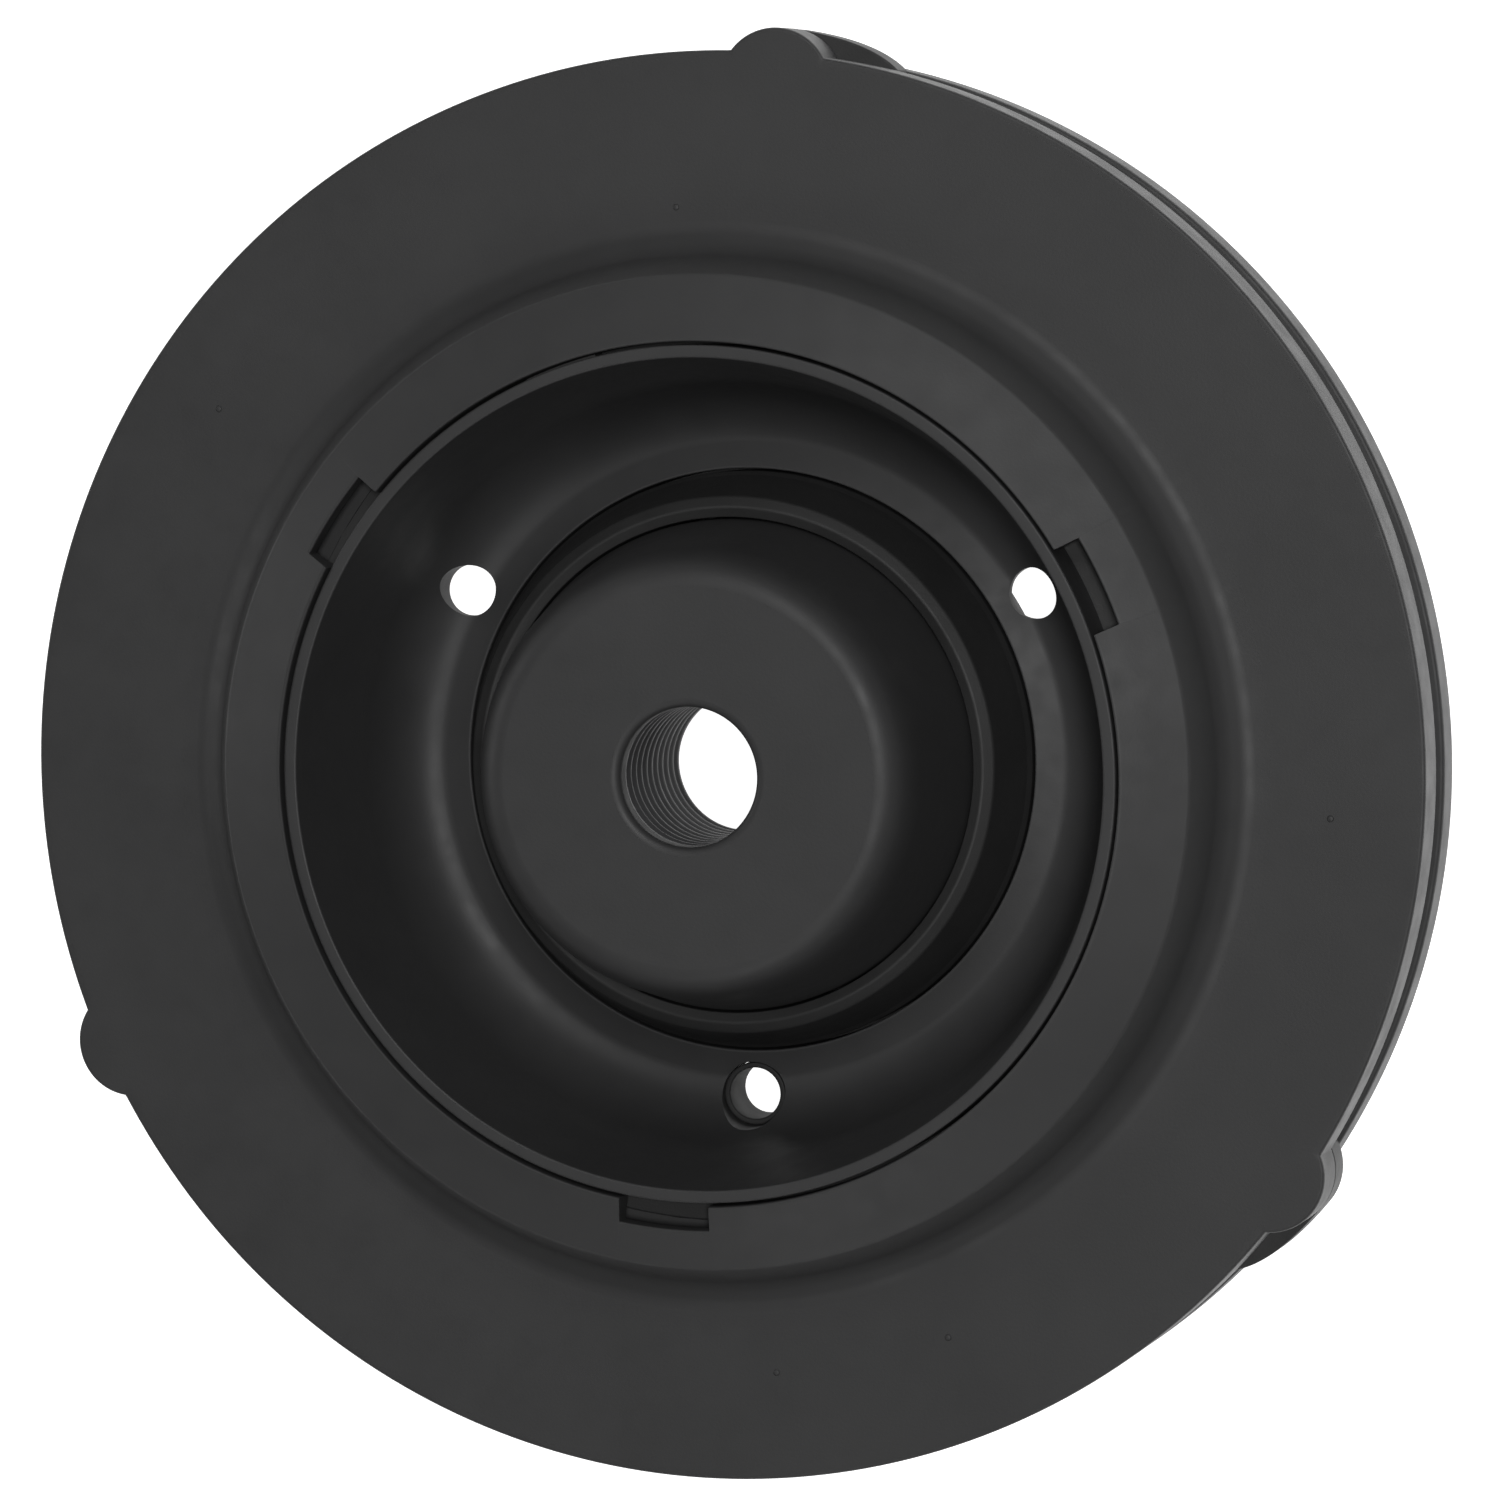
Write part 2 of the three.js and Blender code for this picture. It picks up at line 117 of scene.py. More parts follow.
SCREW_PITCH = 1.1
DOME_PLACES = ((70.6, 94.3), (78.3, -3.4), (76.9, 292.9), (76.5, 275.8), (79.4, 145.7))  # radius, angle

# Hub
SOCKET_R = 59.3
SOCKET_MOUTH_H = -50
PIPE_R = 55.3
PIPE_STOP_H = -21
SEAL_SEAT_R = 57.6
SEAL_TOP_H = -39
NECK_R = (52.2, 57)
NECK_TOP_H = 0.7
HUB_FLANGE_R = 75.5
HUB_FLANGE_H = (-12.4, -8.6)

# Closing cup
LIP_R = (51.9, 53.5)
LIP_H = 11.2
SHOULDER_H = 3.1
CUP_SKIRT_R = 51.6
LUG_R = 56.6
LUG_H = (3.8, 7.1)
CUP_WALL = (48.7, -5.5)
CUP_FLOOR = (40.5, -17.4)
CUP_HOLE = (37.2, -16.3)
CUP_BASE_H = -22.4
DRIVE_HOLE_R = 3.3
DRIVE_CENTRE_R = 42.9
DRIVE_RELIEF = (4.9, -18.7)  # radius and height of the hollow behind an open drive hole
SLEEVE_R = 4
FOOT_CENTRE_R = 40.8
FOOT_R = 3.9
BOSS_TOP_H = 14.5
BOSS_R = 31.1
BOSS_FLANGE_R = 38
BOSS_FLANGE_H = (-28.5, -25)
BOOT_FLANGE_H = (-24.7, -22.7)
BORE_R = 8.75
MOUTH_R = 8.7
BUSH_H = (-14, 11.5)
THREAD_PITCH = 2.5
THREAD_DEPTH = 0.5

# --- Meshes -------------------------------------------------------------------------


def rounded(outline):
    """The outline with every corner turned into an arc. A corner with no fillet stays one point."""
    points = []
    count = len(outline)
    for i, (r, h, fillet) in enumerate(outline):
        corner = np.array((r, h), float)
        before = np.array(outline[i - 1][:2], float) - corner
        after = np.array(outline[(i + 1) % count][:2], float) - corner
        if fillet == 0:
            points.append(corner)
            continue
        long_before, long_after = np.linalg.norm(before), np.linalg.norm(after)
        before, after = before / long_before, after / long_after
        half = math.acos(np.clip(before @ after, -0.9999, 0.9999)) / 2
        reach = min(fillet / math.tan(half), 0.45 * long_before, 0.45 * long_after)
        start, end = corner + before * reach, corner + after * reach
        for step in range(FILLET_STEPS + 1):
            t = step / FILLET_STEPS
            points.append((1 - t) ** 2 * start + 2 * t * (1 - t) * corner + t * t * end)
    return np.array(points)


def mesh_object(name, vertices, faces):
    mesh = bpy.data.meshes.new(name)
    mesh.from_pydata([tuple(v) for v in vertices], [], faces)
    work = bmesh.new()
    work.from_mesh(mesh)
    bmesh.ops.remove_doubles(work, verts=work.verts, dist=1e-7)
    bmesh.ops.recalc_face_normals(work, faces=work.faces)
    work.to_mesh(mesh)
    work.free()
    piece = bpy.data.objects.new(name, mesh)
    bpy.context.scene.collection.objects.link(piece)
    return piece


def columns_object(name, columns):
    """A closed ring from columns of points, one column per angle."""
    count, height = columns.shape[:2]
    faces = []
    for i in range(count):
        here, there = i * height, (i + 1) % count * height
        for j in range(height):
            k = (j + 1) % height
            faces.append((here + j, there + j, there + k, here + k))
    return mesh_object(name, columns.reshape(-1, 3), faces)


def turned(name, outline_at, angles=192, centre=(0, 0)):
    """A turned piece. outline_at is an outline, or gives one for an angle in degrees."""
    if isinstance(angles, int):
        angles = np.arange(angles) * FULL_TURN / angles
    columns = []
    for angle in angles:
        profile = rounded(outline_at(angle) if callable(outline_at) else outline_at)
        a = math.radians(angle)
        x = centre[0] + profile[:, 0] * math.cos(a)
        y = centre[1] + profile[:, 0] * math.sin(a)
        columns.append(np.stack((x, y, profile[:, 1] + FACE_Z), axis=1) * MM)
    return columns_object(name, np.array(columns))


def at(radius, angle):
    a = math.radians(angle)
    return radius * math.cos(a), radius * math.sin(a)


def boolean(piece, tools, operation):
    for tool in tools:
        change = piece.modifiers.new("boolean", "BOOLEAN")
        change.operation = operation
        change.solver = "MANIFOLD"
        change.object = tool
    bpy.context.view_layer.update()
    evaluated = piece.evaluated_get(bpy.context.evaluated_depsgraph_get())
    result = bpy.data.meshes.new_from_object(evaluated)
    piece.modifiers.clear()
    piece.data = result
    for tool in tools:
        bpy.data.objects.remove(tool)
    return piece


def hole(radius, low, high, centre, sides=48):
    """A cutter for a round hole."""
    return turned("cutter", [(0, low, 0), (radius, low, 0), (radius, high, 0), (0, high, 0)], sides, centre)


def finish_piece(piece, body, slot, node, material=None):
    """Smooth shading with sharp creases and the material; the piece joins its body, and the CAD node that it
    stands for is hidden.
    """
    mesh = piece.data
    mesh.shade_smooth()
    mesh.set_sharp_from_angle(angle=CREASE)
    weighted = piece.modifiers.new("weighted_normals", "WEIGHTED_NORMAL")
    weighted.keep_sharp = True
    mesh.materials.clear()
    mesh.materials.append(MATERIALS[material or slot])
    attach(piece, body)
    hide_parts(node)


def smooth_step(value, low, high):
    t = min(max((value - low) / (high - low), 0), 1)
    return t * t * (3 - 2 * t)


def turn_between(angle, other):
    """The signed difference of two angles, from -180 to 180 degrees."""
    return (angle - other + 180) % FULL_TURN - 180


def nearest(angle, centres):
    """How far an angle is from the nearest of some centres, with its sign."""
    return min((turn_between(angle, centre) for centre in centres), key=abs)


def inside(angle, centres, width, soft=0.35):
    """1 within a width round any centre, 0 outside, with a narrow soft edge."""
    away = abs(nearest(angle, centres))
    return 1 - smooth_step(away, width / 2 - soft / 2, width / 2 + soft / 2)


def angles_with(base, *dense):
    """Even angles all round, with finer ones from (centres, low, high, step)."""
    values = set(np.round(np.arange(base) * FULL_TURN / base, 3))
    for centres, low, high, step in dense:
        for centre in centres:
            values |= set(np.round((centre + np.arange(low, high + step / 2, step)) % FULL_TURN, 3))
    ordered = sorted(values)
    kept = [ordered[0]]
    for value in ordered[1:]:
        if value - kept[-1] > 0.04:
            kept.append(value)
    return kept


def curve(start, corner, end):
    """The points of a smooth bend from start to end, pulled towards a corner, as plain outline corners."""
    start, corner, end = (np.array(p, float) for p in (start, corner, end))
    steps = np.linspace(0, 1, CURVE_STEPS + 1)
    return [(*((1 - t) ** 2 * start + 2 * t * (1 - t) * corner + t * t * end), 0) for t in steps]


def sector(inner, outer, angle, width, low, high):
    """A block between two radii, round an angle."""
    steps = [math.radians(angle + width * (i / 8 - 0.5)) for i in range(9)]
    edge = [(outer * math.cos(a), outer * math.sin(a)) for a in steps]
    edge += [(inner * math.cos(a), inner * math.sin(a)) for a in reversed(steps)]
    return prism("block", edge, low, high)


def prism(name, edge, low, high):
    count = len(edge)
    vertices = [Vector((x, y, h + FACE_Z)) * MM for h in (low, high) for x, y in edge]
    faces = [(i, (i + 1) % count, (i + 1) % count + count, i + count) for i in range(count)]
    faces += [tuple(reversed(range(count))), tuple(range(count, 2 * count))]
    return mesh_object(name, vertices, faces)


def bar(radius, centre, low, high, sides=48):
    return turned("bar", [(0, low, 0), (radius, low, 0.3), (radius, high, 0.3), (0, high, 0)], sides, centre)


def cross_slot(centre, turn, width, reach, low, high):
    """Two crossed bars, for the recess of a screw's head."""
    tools = []
    for quarter in (0, 90):
        a = math.radians(turn + quarter)
        along = Vector((math.cos(a), math.sin(a))) * reach
        across = Vector((-math.sin(a), math.cos(a))) * width
        corners = (along + across, -along + across, -along - across, along - across)
        tools.append(prism("slot", [(centre[0] + c.x, centre[1] + c.y) for c in corners], low, high))
    return tools


# --- Materials ----------------------------------------------------------------------


def noise(nodes, links, coordinates, scale, detail=3.0, rough=0.6):
    texture = nodes.new("ShaderNodeTexNoise")
    texture.inputs["Scale"].default_value = scale
    texture.inputs["Detail"].default_value = detail
    texture.inputs["Roughness"].default_value = rough
    links.new(coordinates, texture.inputs["Vector"])
    return texture.outputs["Fac"]


def ramp(nodes, links, value, stops):
    colours = nodes.new("ShaderNodeValToRGB")
    elements = colours.color_ramp.elements
    while len(elements) < len(stops):
        elements.new(0.5)
    for element, (position, colour) in zip(elements, stops):
        element.position = position
        element.color = (*colour, 1)
    links.new(value, colours.inputs["Fac"])
    return colours.outputs["Color"]


def grained(name, dark, light, rough, grain_scale, grain_depth, metallic=0.0, specular=0.5):
    """A material with mottled colour, patchy roughness and a fine bump grain."""
    material = bpy.data.materials.new(name)
    material.use_nodes = True
    nodes, links = material.node_tree.nodes, material.node_tree.links
    shader = nodes["Principled BSDF"]
    shader.inputs["Metallic"].default_value = metallic
    shader.inputs["Specular IOR Level"].default_value = specular
    place = nodes.new("ShaderNodeTexCoord").outputs["Object"]
    patches = noise(nodes, links, place, 55, 4)
    middle = tuple((a + b) / 2 for a, b in zip(dark, light))
    colour = ramp(nodes, links, patches, [(0.3, dark), (0.5, middle), (0.72, light)])
    links.new(colour, shader.inputs["Base Color"])
    wear = noise(nodes, links, place, 230, 2)
    grey_low, grey_high = (rough[0],) * 3, (rough[1],) * 3
    links.new(ramp(nodes, links, wear, [(0.3, grey_low), (0.7, grey_high)]), shader.inputs["Roughness"])
    grain = noise(nodes, links, place, grain_scale, 2)
    bump = nodes.new("ShaderNodeBump")
    bump.inputs["Strength"].default_value = 0.5
    bump.inputs["Distance"].default_value = grain_depth
    links.new(grain, bump.inputs["Height"])
    links.new(bump.outputs["Normal"], shader.inputs["Normal"])
    return material


MATERIALS = {
    "black_plastic": grained(
        "black_plastic", (0.036, 0.036, 0.0365), (0.042, 0.042, 0.0425), (0.48, 0.58),
        grain_scale=2600, grain_depth=2.5e-5, specular=0.38,
    ),
    "black_rubber": grained(
        "black_rubber", (0.018, 0.018, 0.018), (0.024, 0.024, 0.024), (0.52, 0.64),
        grain_scale=3200, grain_depth=4e-5, specular=0.45,
    ),
    "bearing_plastic": grained(
        "bearing_plastic", (0.60, 0.58, 0.52), (0.68, 0.66, 0.60), (0.38, 0.5),
        grain_scale=1800, grain_depth=1.5e-5,
    ),
    "zinc_steel": grained(
        "zinc_steel", (0.42, 0.43, 0.44), (0.56, 0.57, 0.58), (0.28, 0.42),
        grain_scale=2400, grain_depth=1e-5, metallic=1.0,
    ),
    "black_steel": grained(
        "black_steel", (0.07, 0.07, 0.072), (0.09, 0.09, 0.093), (0.4, 0.5),
        grain_scale=2400, grain_depth=1.2e-5, metallic=0.3,
    ),
    "oiled_steel": grained(
        "oiled_steel", (0.018, 0.018, 0.018), (0.024, 0.024, 0.024), (0.6, 0.72),
        grain_scale=2400, grain_depth=1.2e-5, specular=0.3,
    ),
}

# --- Flange ring --------------------------------------------------------------------


def rim_radius(angle):
    """The rim's radius at an angle, out to the ears' rounds."""
    across = EAR_CENTRE_R * math.sin(math.radians(nearest(angle, EAR_ANGLES)))
    if abs(nearest(angle, EAR_ANGLES)) > 90 or abs(across) >= EAR_R:
        return RIM_R
    ear = math.sqrt(EAR_CENTRE_R**2 - across**2) + math.sqrt(EAR_R**2 - across**2)
    return max(ear, RIM_R)


def front_outline(angle):
    rim = rim_radius(angle)
    cut = inside(angle, NOTCH_ANGLES, NOTCH_WIDTH)
    stop = inside(angle, STOP_ANGLES, STOP_WIDTH)
    bore = COLLAR_BORE_R + cut * (NOTCH_R - COLLAR_BORE_R)
    edge_r, edge_h = COLLAR_EDGE
    top = edge_h + (COLLAR_TOP_H - edge_h) * (edge_r - bore) / (edge_r - COLLAR_BORE_R)
    roof = COLLAR_ROOF_H
    stop_low = roof - 0.04 - stop * 3.7
    return [
        (RIB_R[0], -FRONT_T, 0),
        (rim, -FRONT_T, 0.5),
        (rim, 0, 0.5),
        (88.6, 0, 0),
        (71.4, 0, 0),
        (67.8, 0.1, 4),
        (64.9, 1.8, 4),
        (edge_r, edge_h, 0.6),
        (bore, top, 0.35),
        (bore, roof, 0.25),
        (STOP_R, roof, 0),
        (STOP_R, stop_low, 0),
        (CAVITY_R, stop_low, 0),
        (CAVITY_R, WASHER_ROOM_H[1], 0.5),
        (RIB_R[0], WASHER_ROOM_H[1], 0),
    ]


def front_plate():
    angles = angles_with(
        288,
        (EAR_ANGLES, -6, 6, 0.2),
        (NOTCH_ANGLES, 5.7, 6.3, 0.07),
        (NOTCH_ANGLES, -6.3, -5.7, 0.07),
        (STOP_ANGLES, 1, 1.5, 0.1),
        (STOP_ANGLES, -1.5, -1, 0.1),
    )
    plate = turned("ring_front_plate", front_outline, angles)
    blind = [hole(2.1, -9, -2.3, at(SCREW_CENTRE_R, angle), sides=24) for angle in RING_SCREW_ANGLES]
    boolean(plate, blind, "DIFFERENCE")
    dome = [(0, -0.5, 0), (0.45, -0.5, 0), (0.45, 0, 0), (0.3, 0.13, 0), (0, 0.2, 0)]
    domes = [turned("dome", dome, 16, at(*place)) for place in DOME_PLACES]
    boolean(plate, domes, "UNION")
    finish_piece(plate, "ring", "black_plastic", "front_ring")


def rear_plate():
    rib_inner, rib_outer = RIB_R
    outline = [
        (RING_HOLE_R, FLOOR_H, 0.6),
        (RIM_R, FLOOR_H, 0.6),
        (RIM_R, REAR_TOP_H, 0.6),
        (rib_outer, REAR_TOP_H, 0),
        (rib_outer, -FRONT_T - GAP, 0.2),
        (rib_inner, -FRONT_T - GAP, 0.2),
        (rib_inner, WASHER_ROOM_H[0], 0.3),
        (RING_HOLE_R, WASHER_ROOM_H[0], 0.5),
    ]
    plate = turned("ring_rear_plate", outline, 288)
    places = [at(SCREW_CENTRE_R, angle) for angle in RING_SCREW_ANGLES]
    tools = [hole(2.1, -21, -7, place, sides=24) for place in places]
    tools += [hole(3.3, -21, -17.1, place, sides=32) for place in places]
    for tool in tools:
        boolean(plate, [tool], "DIFFERENCE")
    finish_piece(plate, "ring", "black_plastic", "rear_ring")


def tab_edge():
    """A tab's edge as angles from its middle and radii: a bowed flank from the rim, then a round."""
    turn, reach = math.radians(TAB_TURN), math.radians(TAB_REACH)
    start = Vector((EAR_CENTRE_R + TAB_R * math.cos(turn), -TAB_R * math.sin(turn)))
    pull = start - Vector((math.sin(turn), math.cos(turn))) * TAB_PULL
    tip = Vector((math.cos(reach), -math.sin(reach))) * RIM_R
    flank = [tip * (1 - t) ** 2 + pull * 2 * t * (1 - t) + start * t * t for t in np.linspace(0, 1, 24)]
    turns = np.linspace(-turn, math.radians(110), 60)[1:]
    arc = [Vector((EAR_CENTRE_R + TAB_R * math.cos(a), TAB_R * math.sin(a))) for a in turns]
    edge = flank + arc
    return [math.degrees(math.atan2(p.y, p.x)) for p in edge], [p.length for p in edge]


TAB_EDGE = tab_edge()


def tab_radius(angle):
    """The gasket's radius where a tab fills the room behind an ear, or 0."""
    away = nearest(angle, EAR_ANGLES)
    return float(np.interp(away, *TAB_EDGE, left=0, right=0))


def gasket_outline(angle):
    base = GASKET_R - 2.2 * inside(angle, [GASKET_GAP_ANGLE], 1.3)
    outer = max(tab_radius(angle), base)
    return [
        (RIB_R[1] + GAP, -FRONT_T - GAP, 0),
        (RIB_R[1] + GAP, REAR_TOP_H + GAP, 0),
        (outer, REAR_TOP_H + GAP, 0.3),
        (outer, -FRONT_T - GAP, 0.3),
    ]


def rim_gasket():
    angles = angles_with(240, (EAR_ANGLES, -9, 6, 0.15), ([GASKET_GAP_ANGLE], -1.2, 1.2, 0.08))
    finish_piece(turned("ring_gasket", gasket_outline, angles), "ring", "black_rubber", "rim_gasket")


def screw(name, node, body, centre, turn, head_r, shank_r, low, seat, tip):
    """A pan-headed thread-forming screw, head down, with a cross recess and a threaded shank."""
    core_r = 0.8 * shank_r
    outline = [(0, low, 0), (0.7 * head_r, low, 0), (head_r, low + 0.7, 0.5), (head_r, seat, 0.15)]
    outline.append((shank_r, seat, 0))
    height = seat + SCREW_PITCH / 2
    while height + SCREW_PITCH < tip - shank_r:
        outline += [(core_r, height, 0), (shank_r, height + SCREW_PITCH / 2, 0.05)]
        height += SCREW_PITCH
    outline += [(core_r, tip - shank_r, 0), (0, tip, 0)]
    piece = turned(name, outline, 40, centre)
    for tool in cross_slot(centre, turn, head_r * 0.13, head_r * 0.6, low - 1, low + 1.1):
        boolean(piece, [tool], "DIFFERENCE")
    finish_piece(piece, body, "zinc_steel", node)


def ring_screws():
    for i, angle in enumerate(RING_SCREW_ANGLES):
        name, node = f"ring_cross_screw_{i + 1}", f"ring_screw_{i + 1}"
        place = at(SCREW_CENTRE_R, angle)
        screw(name, node, "ring", place, 37 * i, 3, 1.8, FLOOR_H + 0.2, -17.4, -2.6)


front_plate()
rear_plate()
rim_gasket()
ring_screws()

# --- Hub ----------------------------------------------------------------------------


def hub():
    socket = [
        (SEAL_SEAT_R, SOCKET_MOUTH_H, 0.3),
        (SOCKET_R, SOCKET_MOUTH_H, 0.5),
        (SOCKET_R, HUB_FLANGE_H[0], 0.8),
        (HUB_FLANGE_R, HUB_FLANGE_H[0], 0.4),
        (HUB_FLANGE_R, HUB_FLANGE_H[1], 0.4),
        (NECK_R[1], HUB_FLANGE_H[1], 0.6),
        (NECK_R[1], NECK_TOP_H, 0.4),
        (NECK_R[0], NECK_TOP_H, 0.5),
        (NECK_R[0], PIPE_STOP_H, 0.4),
        (PIPE_R, PIPE_STOP_H, 0.5),
        (PIPE_R, SEAL_TOP_H, 0.3),
        (SEAL_SEAT_R, SEAL_TOP_H, 0.3),
    ]
    finish_piece(turned("socket_body", socket), "hub", "black_plastic", "hub_socket")
    seat = SEAL_SEAT_R - GAP
    seal = [
        (seat, -45, 0.2),
        (seat, SEAL_TOP_H - GAP, 0.4),
        (55.4, SEAL_TOP_H - GAP, 0.5),
        (54.4, -40.3, 0.4),
        (54.4, -41.3, 0.4),
        (55.6, -42.3, 0.3),
        (55.9, -43.6, 0.5),
        (55.6, -45, 0.2),
    ]
    finish_piece(turned("socket_lip_seal", seal), "hub", "black_rubber", "pipe_seal")
    retainer = [(55.6, -49.7, 0.6), (seat, -49.7, 0.25), (seat, -45.3, 0.25), (55.6, -45.3, 0.25)]
    finish_piece(turned("socket_retainer", retainer), "hub", "bearing_plastic", "seal_retainer")


hub()

# --- Closing cup --------------------------------------------------------------------


def cup_outline():
    return [
        (LIP_R[1], LIP_H, 0.3),
        (LIP_R[0], LIP_H, 0.3),
        *curve(CUP_WALL, (CUP_WALL[0] - 1.6, CUP_FLOOR[1]), CUP_FLOOR),
        (*CUP_HOLE, 0.3),
        (CUP_HOLE[0], CUP_BASE_H, 0.3),
        *curve((45, CUP_BASE_H), (CUP_SKIRT_R, CUP_BASE_H), (CUP_SKIRT_R, CUP_BASE_H + 10)),
        (CUP_SKIRT_R, SHOULDER_H, 0.3),
        (LIP_R[1], SHOULDER_H, 0.2),
    ]


def closing_cup():
    cup = turned("cup_dish", cup_outline(), 240)
    lugs = [sector(52.6, LUG_R, angle, 10, *LUG_H) for angle in LUG_ANGLES]
    boolean(cup, lugs, "UNION")
    radii = (DRIVE_HOLE_R, DRIVE_HOLE_R, SLEEVE_R + 0.15)
    drives = [hole(r, -24, -8, at(DRIVE_CENTRE_R, angle)) for r, angle in zip(radii, DRIVE_ANGLES)]
    relief_r, relief_h = DRIVE_RELIEF
    reliefs = [hole(relief_r, -24, relief_h, at(DRIVE_CENTRE_R, angle)) for angle in DRIVE_ANGLES[:2]]
    feet = [hole(1.8, -24, -19.7, at(FOOT_CENTRE_R, angle), sides=24) for angle in FOOT_ANGLES]
    for tool in drives + reliefs + feet:
        boolean(cup, [tool], "DIFFERENCE")
    finish_piece(cup, "cup", "black_plastic", "closing_cup")


def add_feet(piece, low, high):
    """Three feet with screw holes, on the rim of a round flange."""
    for angle in FOOT_ANGLES:
        place = at(FOOT_CENTRE_R, angle)
        web = sector(BOSS_FLANGE_R - 2, FOOT_CENTRE_R, angle, 2 * FOOT_R, low + 0.01, high - 0.01)
        boolean(piece, [web], "UNION")
        boolean(piece, [bar(FOOT_R, place, low, high)], "UNION")
        boolean(piece, [hole(1.9, low - 1, high + 1, place, sides=24)], "DIFFERENCE")


def boot():
    low, high = BOOT_FLANGE_H
    outline = [
        (31.4, low, 0.2),
        (BOSS_FLANGE_R, low, 0.4),
        (BOSS_FLANGE_R, high, 0.4),
        (36.9, high, 0),
        (36.9, CUP_HOLE[1] - 0.2, 0.5),
        (36.4, CUP_HOLE[1] + 0.8, 1.5),
        (34.1, -7.1, 0.7),
        (32.7, -6.3, 0.6),
        (31.4, -6.8, 0.2),
    ]
    piece = turned("boss_rubber_boot", outline)
    add_feet(piece, low, high)
    finish_piece(piece, "cup", "black_rubber", "boss_boot")


def boss_outline():
    low, high = BOSS_FLANGE_H
    return [
        (MOUTH_R, BOSS_TOP_H, 1.4),
        *curve((23.7, BOSS_TOP_H), (27.5, BOSS_TOP_H), (28.5, 7.5)),
        (BOSS_R, -6.9, 0),
        (BOSS_R, high, 0.3),
        (BOSS_FLANGE_R, high, 0.4),
        (BOSS_FLANGE_R, low, 0.5),
        (27.9, low, 0.5),
        (25, 9.5, 1),
        (17.5, 9.5, 1),
        (17.5, -17, 0.4),
        (13.5, -17, 0.4),
        (13.5, -15.7, 0),
        (14.9, -15.7, 0),
        (14.9, -14.3, 0),
        (13.5, -14.3, 0),
        (13.5, 11.8, 0),
        (MOUTH_R, 11.8, 0),
    ]


def boss():
    piece = turned("boss_body", boss_outline())
    ribs = [sector(16.5, 25.6, angle, 5, -20, 10.2) for angle in CORE_RIB_ANGLES]
    for rib in ribs:
        boolean(piece, [rib], "UNION")
    add_feet(piece, *BOSS_FLANGE_H)
    finish_piece(piece, "cup", "black_plastic", "centre_boss")


def thread_radius(height, angle):
    """The bore's radius in a helical thread whose ridges fade out at both ends."""
    low, high = BUSH_H
    phase = height / THREAD_PITCH + angle / FULL_TURN
    ridge = 0.5 - 0.5 * math.cos(2 * math.pi * phase)
    fade = smooth_step(height, low, low + 1) * (1 - smooth_step(height, high - 0.8, high))
    return BORE_R + THREAD_DEPTH * fade * ridge


def threaded_bush():
    low, high = BUSH_H
    heights = np.linspace(high, low, 145)
    columns = []
    for i in range(120):
        angle = i * FULL_TURN / 120
        outline = [(thread_radius(h, angle), h) for h in heights]
        outline += [(12.9, low), (13.2, low + 0.3), (13.2, high - 0.3), (12.9, high)]
        a = math.radians(angle)
        columns.append([(r * math.cos(a) * MM, r * math.sin(a) * MM, (h + FACE_Z) * MM) for r, h in outline])
    piece = columns_object("threaded_bush", np.array(columns))
    finish_piece(piece, "cup", "black_steel", "port_bush")


def clip():
    outline = [(11.9, -15.4, 0.2), (14.6, -15.4, 0.2), (14.6, -14.6, 0.2), (11.9, -14.6, 0.2)]
    piece = turned("retaining_clip", outline, 144)
    boolean(piece, [sector(10, 16, CUP_ANGLE + 90, 24, -17, -13)], "DIFFERENCE")
    finish_piece(piece, "cup", "black_steel", "bush_clip")


def sleeve():
    outline = [
        (DRIVE_HOLE_R, -25.4, 0.2),
        (SLEEVE_R, -25.4, 0.3),
        (SLEEVE_R, CUP_FLOOR[1], 0.2),
        (DRIVE_HOLE_R, CUP_FLOOR[1], 0.3),
    ]
    piece = turned("drive_sleeve", outline, 64, at(DRIVE_CENTRE_R, DRIVE_ANGLES[2]))
    finish_piece(piece, "cup", "black_steel", "index_sleeve", material="oiled_steel")


def boss_screws():
    seat = BOSS_FLANGE_H[0] - GAP
    for i, angle in enumerate(FOOT_ANGLES):
        name, node = f"boss_cross_screw_{i + 1}", f"boss_screw_{i + 1}"
        screw(name, node, "cup", at(FOOT_CENTRE_R, angle), 25 + 41 * i, 2.9, 1.5, -30.6, seat, -20)


closing_cup()
boot()
boss()
threaded_bush()
clip()
sleeve()
boss_screws()

# --- Camera, floor and light --------------------------------------------------------

TILT = math.radians(15.49)  # of the view, off the pipe's axis
LEAN = math.radians(16.3)  # the side that it tilts to
DISTANCE = 1.0
FOCAL_LENGTH = 191.1
AIM_OFFSET = (0.00413, 0.00241)  # of the picture's middle from the ring's centre, right and up


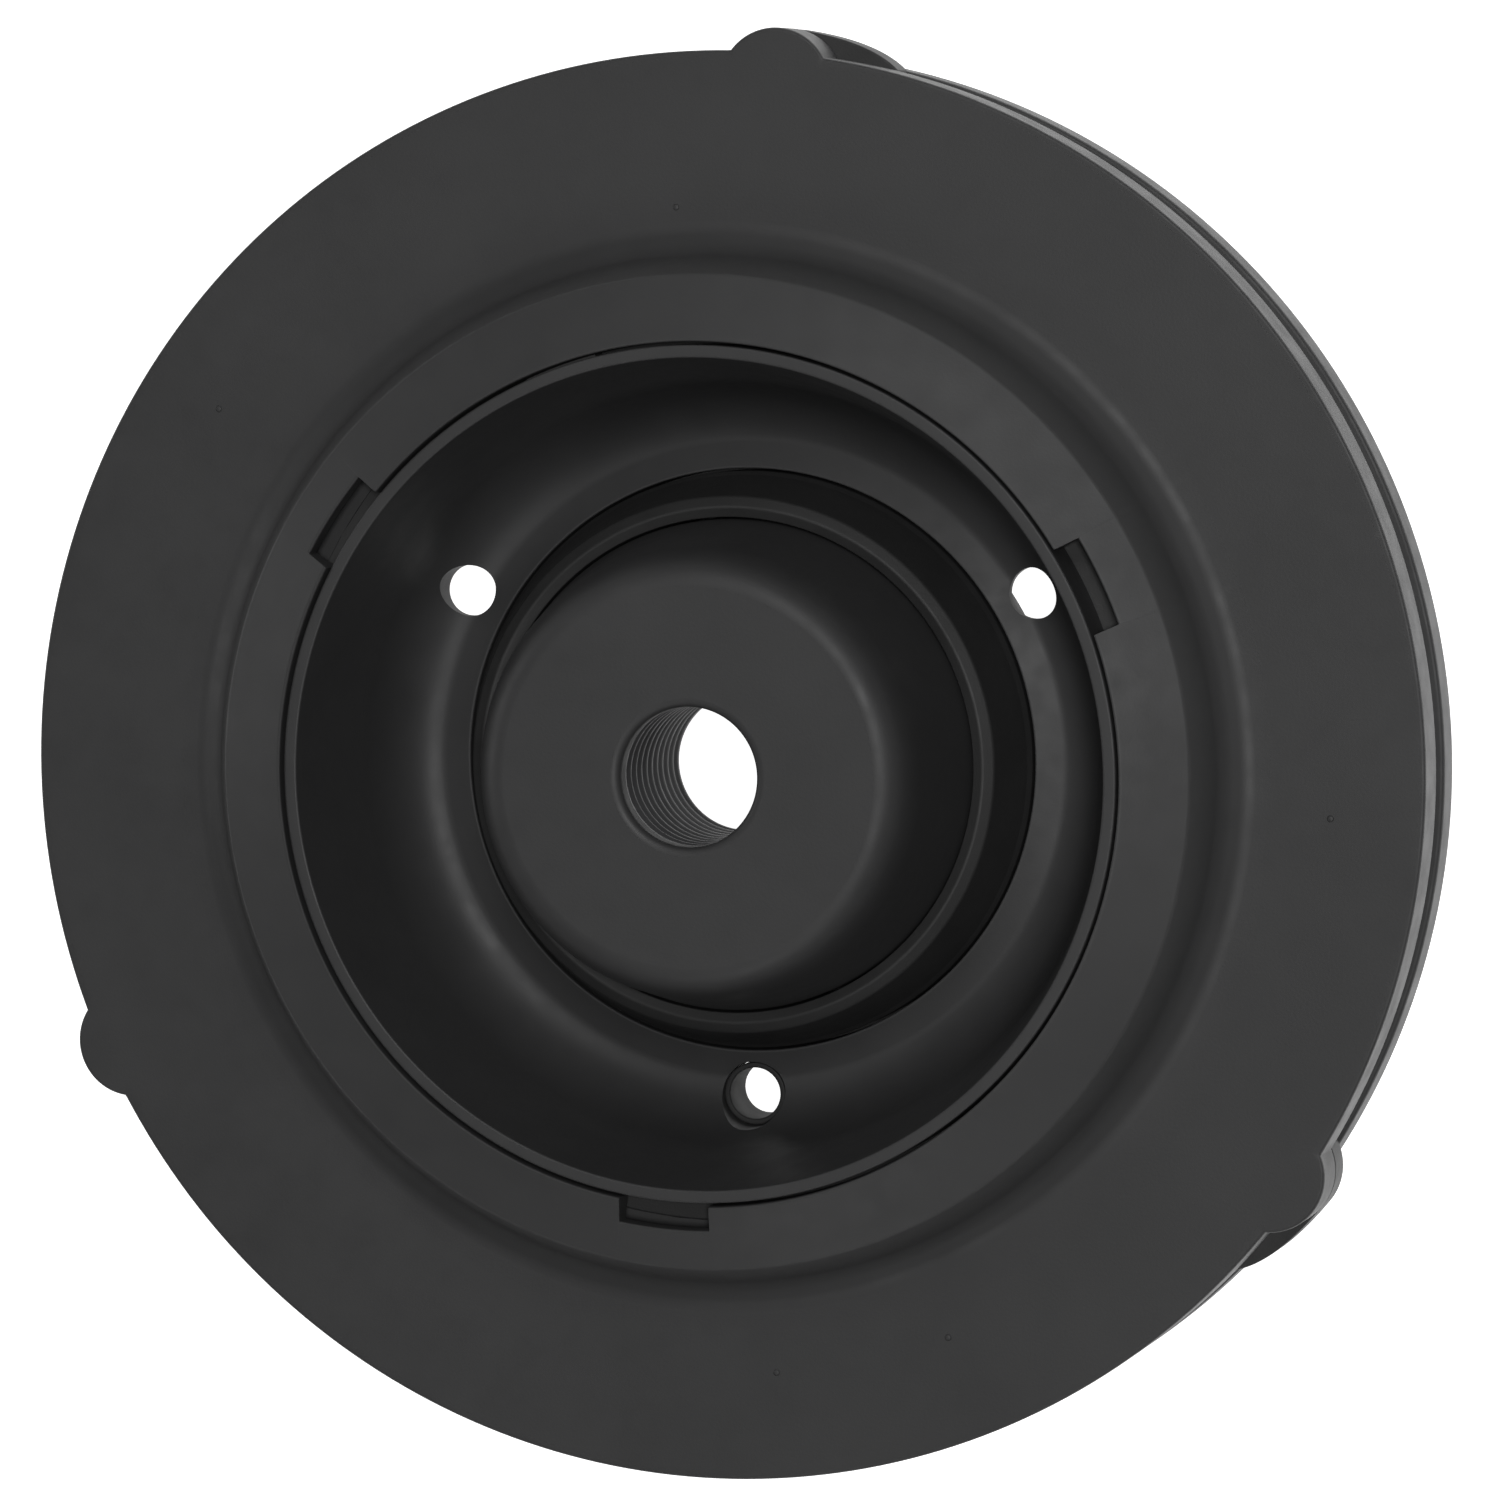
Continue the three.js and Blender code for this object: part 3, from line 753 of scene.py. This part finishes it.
def add_camera():
    back = Vector((math.sin(TILT) * math.cos(LEAN), math.sin(TILT) * math.sin(LEAN), math.cos(TILT)))
    right = Vector((0, 1, 0)).cross(back).normalized()
    up = back.cross(right)
    centre = Vector((0, 0, FACE_Z * MM))
    place = centre + back * DISTANCE
    back = (place - centre - right * AIM_OFFSET[0] - up * AIM_OFFSET[1]).normalized()
    right = Vector((0, 1, 0)).cross(back).normalized()
    camera = bpy.data.objects.new("camera", bpy.data.cameras.new("camera"))
    camera.data.lens = FOCAL_LENGTH
    camera.data.sensor_width = 36
    camera.data.clip_start, camera.data.clip_end = 0.05, 20
    axes = Matrix((right, back.cross(right), back)).transposed().to_4x4()
    camera.matrix_world = Matrix.Translation(place) @ axes
    bpy.context.scene.collection.objects.link(camera)
    bpy.context.scene.camera = camera


def add_floor():
    """A pale light table: it glows white, so that the part stands on plain white."""
    ring = [Vector((math.cos(a), math.sin(a), 0)) * 4 for a in np.linspace(0, 2 * math.pi, 65)[:-1]]
    floor = mesh_object("floor", ring, [tuple(range(64))])
    floor.location.z = -0.0002
    material = bpy.data.materials.new("floor_glow")
    material.use_nodes = True
    shader = material.node_tree.nodes["Principled BSDF"]
    shader.inputs["Base Color"].default_value = (0.8, 0.8, 0.8, 1)
    shader.inputs["Roughness"].default_value = 0.9
    shader.inputs["Emission Color"].default_value = (1, 1, 1, 1)
    shader.inputs["Emission Strength"].default_value = 1.0
    floor.data.materials.append(material)


def add_light(name, place, size, power):
    lamp = bpy.data.lights.new(name, "AREA")
    lamp.shape = "DISK"
    lamp.size = size
    lamp.energy = power
    light = bpy.data.objects.new(name, lamp)
    light.location = place
    light.rotation_euler = (Vector((0, 0, 0.04)) - light.location).to_track_quat("-Z", "Y").to_euler()
    light.visible_camera = False
    bpy.context.scene.collection.objects.link(light)


def add_world(strength):
    world = bpy.data.worlds.new("studio")
    world.use_nodes = True
    background = world.node_tree.nodes["Background"]
    background.inputs["Color"].default_value = (1, 1, 1, 1)
    background.inputs["Strength"].default_value = strength
    bpy.context.scene.world = world


add_camera()
add_floor()
add_light("camera_softbox", (0.66, 0.19, 2.45), 0.3, 24.0)
add_light("left_softbox", (-1.4, 0.2, 0.5), 0.5, 2.6)
add_light("right_softbox", (1.05, 0.2, 1.05), 0.5, 0.5)
add_light("top_softbox", (0.25, 0.63, 1.36), 0.4, 3.0)
add_light("far_softbox", (0, 1.05, 1.05), 0.5, 1.5)
add_light("bottom_softbox", (0, -1.05, 1.05), 0.5, 2.8)
add_world(0.02)
bpy.context.scene.view_settings.view_transform = "Standard"

for node in frame["nodes"].values():
    node.data.materials.clear()
    slot = next(s["material_slot"] for s in frame["record"]["subparts"] if s["node"] == node["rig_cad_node"])
    node.data.materials.append(MATERIALS[slot])
